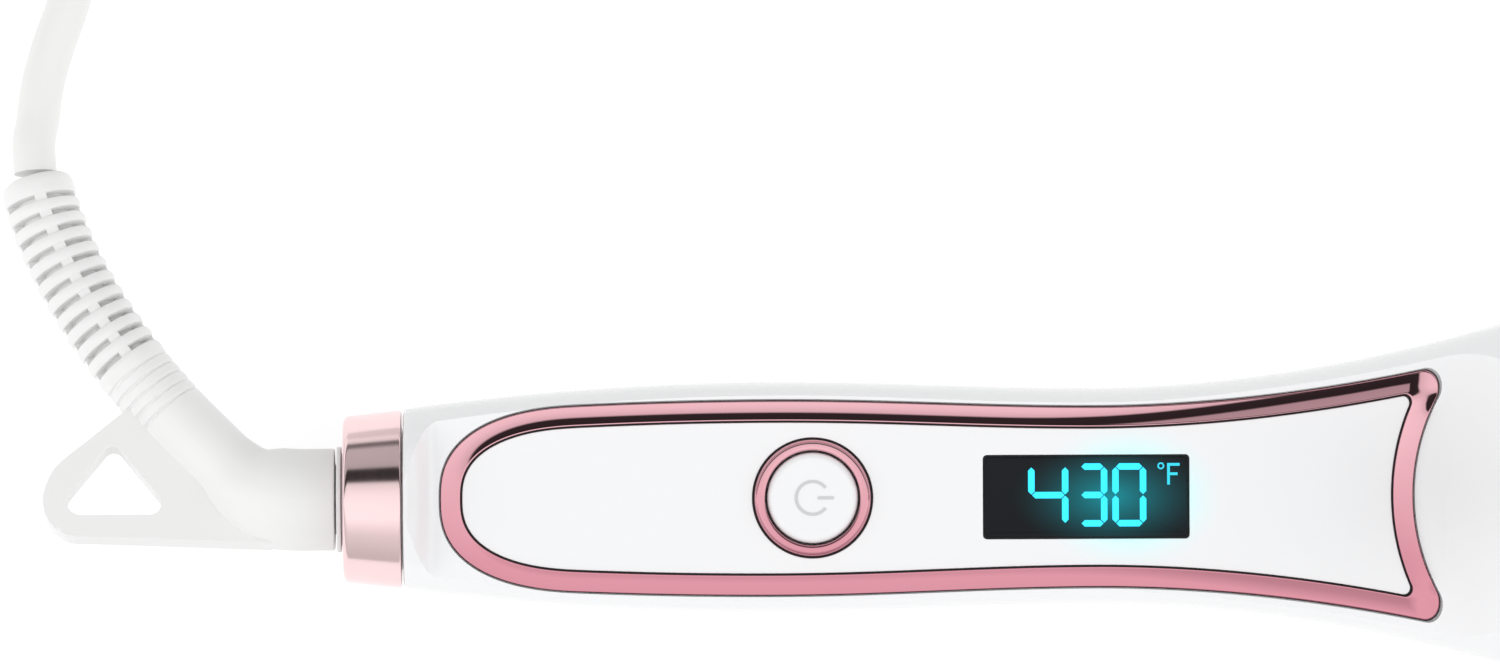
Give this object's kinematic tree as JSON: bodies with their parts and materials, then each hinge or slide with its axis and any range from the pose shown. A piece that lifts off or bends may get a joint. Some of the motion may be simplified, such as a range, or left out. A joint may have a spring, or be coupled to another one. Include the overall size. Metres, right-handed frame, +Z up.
{
  "type": "curling iron",
  "caption": "Spring-clamp curling iron with a waisted grip, digital display face, flared hand guard, flip-out stand and swivel cord.",
  "frame": {"origin": "middle of the iron's footprint, without its cord and strain relief, on the surface it lies on", "axes": "+X from the cord end to the cool tip, +Z up out of the display face, +Y to the side the cord leaves"},
  "size_m": [0.3997, 0.202, 0.056],
  "materials": {
    "white_plastic": "glossy white moulded ABS",
    "soft_white": "soft satin white elastomer",
    "cord_white": "satin white PVC",
    "grey_plastic": "light grey acetal",
    "black_plastic": "heat-resistant matte black",
    "rose_gold": "plated rose gold, satin",
    "barrel_metal": "satin rose-gold ceramic coating",
    "steel": "bright zinc plated",
    "aluminium": "mill finish extrusion",
    "brass": "bright",
    "ceramic": "bare alumina",
    "circuit_board": "green solder mask",
    "display_lens": "smoked gloss lens",
    "wire_red": "silicone sleeve",
    "wire_white": "silicone sleeve"
  },
  "bodies": {
    "handle": {"upper_shell": "white_plastic", "lower_shell": "white_plastic", "face_panel": "white_plastic", "trim_frame": "rose_gold", "button_bezel": "rose_gold", "display_window": "display_lens", "display_module": "black_plastic", "control_board": "circuit_board", "board_screw_rear": "steel", "board_screw_front": "steel", "tact_switch": "black_plastic", "tail_collar": "rose_gold", "swivel_bush": "grey_plastic", "brush_holder": "black_plastic", "brush_live": "brass", "brush_neutral": "brass", "case_screw_tail": "steel", "case_screw_left": "steel", "case_screw_right": "steel", "front_bezel": "rose_gold", "heat_shield": "black_plastic", "barrel": "barrel_metal", "cool_tip": "black_plastic", "ceramic_heater": "ceramic", "heat_spreader_upper": "aluminium", "heat_spreader_lower": "aluminium", "temperature_sensor": "display_lens", "thermal_fuse": "steel", "heater_wire_live": "wire_red", "heater_wire_neutral": "wire_white", "mains_wire_live": "wire_red", "mains_wire_neutral": "wire_white", "hinge_bracket": "steel", "hinge_pin": "steel", "bracket_screw_left": "steel", "bracket_screw_right": "steel", "clamp_spring": "steel", "stand_pin": "steel"},
    "cord_swivel": {"swivel_rotor": "black_plastic", "slip_ring_live": "brass", "slip_ring_neutral": "brass", "strain_relief": "soft_white", "cord_lead": "cord_white", "cord_coil": "cord_white", "cord_tail": "cord_white", "cord_tie": "black_plastic", "plug_body": "cord_white", "plug_blade_left": "steel", "plug_blade_right": "steel"},
    "clamp": {"clamp_spoon": "barrel_metal", "thumb_lever": "white_plastic", "lever_rivet_rear": "steel", "lever_rivet_front": "steel"},
    "button": {"power_button": "white_plastic"},
    "stand": {"safety_stand": "black_plastic"}
  },
  "joints": [
    {"name": "cord_swivel_turn", "type": "hinge", "parent": "handle", "child": "cord_swivel", "pos_m": [-0.17453, 0, 0.0166], "axis": [1, 0, 0], "continuous": true},
    {"name": "clamp_open", "type": "hinge", "parent": "handle", "child": "clamp", "pos_m": [0.02548, 0, 0.0371], "axis": [0, -1, 0], "range_deg": [0, 18], "stiffness_Nm_per_rad": 0.25, "springref_deg": -17.19},
    {"name": "power_button_press", "type": "slide", "parent": "handle", "child": "button", "axis": [0, 0, -1], "range_m": [0, 0.0008], "stiffness_N_per_m": 400},
    {"name": "stand_flip", "type": "hinge", "parent": "handle", "child": "stand", "pos_m": [0.00647, 0, 0.00175], "axis": [0, -1, 0], "range_deg": [0, 95]}
  ]
}
